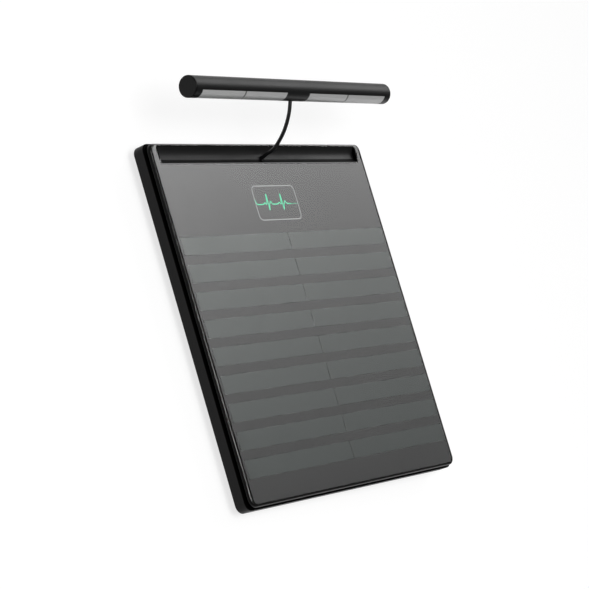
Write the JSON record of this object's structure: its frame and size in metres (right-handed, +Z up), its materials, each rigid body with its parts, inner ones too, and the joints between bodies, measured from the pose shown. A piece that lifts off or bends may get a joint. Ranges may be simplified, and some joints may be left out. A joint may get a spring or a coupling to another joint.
{
  "type": "smart bathroom scale",
  "caption": "Smart bathroom scale with a dark glass platform, coated foot electrodes and a hand electrode bar on a retracting cord that docks in a trough at the back edge.",
  "frame": {"origin": "on the floor, in the middle of the four feet, under the middle of the glass platform", "axes": "+Z up, +Y towards the back edge with the hand bar's cradle, +X to the right"},
  "size_m": [0.3284, 0.3697, 0.0848],
  "materials": {
    "tray_plastic": "fine matt texture",
    "frame_plastic": "fine matt texture",
    "platform_glass": "clear tempered, dark print behind, polished edge",
    "electrode_coating": "thin clear conductive coating",
    "display_glass": "smooth, dark",
    "cradle_plastic": "glossy",
    "bush_plastic": "satin",
    "guide_plastic": "satin",
    "reel_plastic": "satin",
    "steel_pin": "turned",
    "spring_steel": "rolled, blued",
    "drum_plastic": "satin",
    "cord_rubber": "matt",
    "circuit_board": "solder mask",
    "shield_metal": "tin plated",
    "battery_wrap": "foil wrap",
    "switch_plastic": "moulded",
    "button_plastic": "satin",
    "screw_steel": "plated",
    "handle_plastic": "satin",
    "electrode_steel": "satin",
    "gland_rubber": "matt",
    "pin_brass": "plated",
    "cell_steel": "milled",
    "carrier_plastic": "matt",
    "pad_rubber": "matt"
  },
  "bodies": {
    "platform": {"base_tray": "tray_plastic", "upper_frame": "frame_plastic", "glass_platform": "platform_glass", "electrode_film_left": "electrode_coating", "electrode_film_right": "electrode_coating", "display_panel": "display_glass", "handle_cradle": "cradle_plastic", "cradle_eyelet": "bush_plastic", "cord_guide": "guide_plastic", "reel_housing": "reel_plastic", "reel_cover": "reel_plastic", "reel_axle": "steel_pin", "reel_spring": "spring_steel", "cord_lead": "cord_rubber", "main_board": "circuit_board", "radio_shield": "shield_metal", "battery_pack": "battery_wrap", "charge_board": "circuit_board", "charge_socket": "shield_metal", "button_switch": "switch_plastic", "housing_screws": "screw_steel", "load_cell_screws": "screw_steel", "reel_screws": "screw_steel", "board_screws": "screw_steel", "load_cell_front_left": "cell_steel", "load_cell_front_right": "cell_steel", "load_cell_back_left": "cell_steel", "load_cell_back_right": "cell_steel", "foot_carrier_front_left": "carrier_plastic", "foot_carrier_front_right": "carrier_plastic", "foot_carrier_back_left": "carrier_plastic", "foot_carrier_back_right": "carrier_plastic", "foot_pad_front_left": "pad_rubber", "foot_pad_front_right": "pad_rubber", "foot_pad_back_left": "pad_rubber", "foot_pad_back_right": "pad_rubber"},
    "reel": {"reel_drum": "drum_plastic", "wound_cord": "cord_rubber"},
    "cord": {"handle_cord": "cord_rubber"},
    "handle": {"handle_shell": "handle_plastic", "handle_cap_left": "handle_plastic", "handle_cap_right": "handle_plastic", "electrode_left_outer": "electrode_steel", "electrode_left_inner": "electrode_steel", "electrode_right_inner": "electrode_steel", "electrode_right_outer": "electrode_steel", "cord_gland": "gland_rubber", "handle_board": "circuit_board", "electrode_pins": "pin_brass"},
    "button": {"pairing_button": "button_plastic"}
  },
  "joints": [
    {"name": "cord_swing", "type": "hinge", "parent": "platform", "child": "cord", "pos_m": [0, 0.1516, 0.0326], "axis": [-1, 0, 0], "range_deg": [-65, 0]},
    {"name": "handle_pull", "type": "slide", "parent": "cord", "child": "handle", "axis": [0, 0.7209, 0.6931], "range_m": [-0.06118, 0.75], "stiffness_N_per_m": 1.2, "springref_m": -0.9, "deforming": ["handle_cord", "cord_lead"]},
    {"name": "reel_spin", "type": "hinge", "parent": "platform", "child": "reel", "pos_m": [-0.07602, 0.11388, 0.014], "axis": [0, 0, -1], "range_deg": [-150, 1650]},
    {"name": "button_press", "type": "slide", "parent": "platform", "child": "button", "axis": [0, -1, 0], "range_m": [0, 0.0006], "stiffness_N_per_m": 300, "springref_m": -0.001}
  ],
  "couplings": [
    {"joint": "reel_spin", "follows": "handle_pull", "rad_per_m": 37.2}
  ]
}
